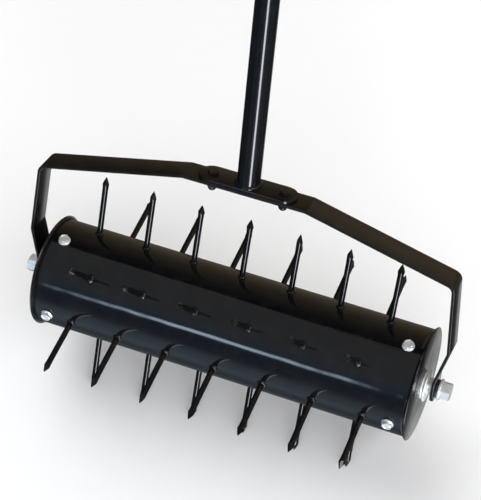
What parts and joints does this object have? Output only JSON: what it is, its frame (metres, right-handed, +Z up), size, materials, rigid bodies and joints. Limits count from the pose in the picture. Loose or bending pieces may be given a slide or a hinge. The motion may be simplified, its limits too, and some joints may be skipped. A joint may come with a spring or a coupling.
{
  "type": "spike roller aerator",
  "caption": "Hand-push lawn aerator: a spiked roller drum turning on axle bolts in a flat-bar yoke, with a straight tube handle and rubber grip.",
  "frame": {"origin": "middle of the handle grip, on its axis, where the hand holds the tool", "axes": "+X along the axle to the right seen from the front, +Z up; the drum is below and the handle leans back toward +Y by 20 degrees"},
  "size_m": [0.5008, 0.5483, 1.2299],
  "materials": {
    "drum_paint": "gloss",
    "cap_paint": "gloss",
    "spike_paint": "gloss",
    "yoke_paint": "gloss",
    "tube_paint": "gloss",
    "black_fasteners": "satin",
    "zinc_steel": "bright zinc plate",
    "dark_steel": "blackened",
    "grip_rubber": "matt"
  },
  "bodies": {
    "frame": {"yoke": "yoke_paint", "foot_plate": "yoke_paint", "plate_bolts": "black_fasteners", "plate_washers": "black_fasteners", "plate_nuts": "black_fasteners", "left_axle_bolt": "zinc_steel", "right_axle_bolt": "zinc_steel", "spring_washers": "dark_steel", "flat_washers": "zinc_steel", "jam_nuts": "zinc_steel", "spacers": "dark_steel", "thrust_washers": "zinc_steel", "inner_washers": "zinc_steel", "inner_lock_nuts": "zinc_steel", "lower_tube": "tube_paint", "tube_weld": "yoke_paint", "middle_tube": "tube_paint", "upper_tube": "tube_paint", "joint_bolts": "zinc_steel", "wing_nuts": "zinc_steel", "handle_grip": "grip_rubber"},
    "drum": {"drum_shell": "drum_paint", "left_end_cap": "cap_paint", "right_end_cap": "cap_paint", "spike_row_1": "spike_paint", "spike_row_2": "spike_paint", "spike_row_3": "spike_paint", "spike_row_4": "spike_paint", "spike_row_5": "spike_paint", "spike_row_6": "spike_paint", "left_cap_screws": "zinc_steel", "right_cap_screws": "zinc_steel", "left_bush": "zinc_steel", "right_bush": "zinc_steel"}
  },
  "joints": [
    {"name": "drum_spin", "type": "hinge", "parent": "frame", "child": "drum", "pos_m": [0, -0.38306, -1.05246], "axis": [1, 0, 0], "continuous": true}
  ]
}
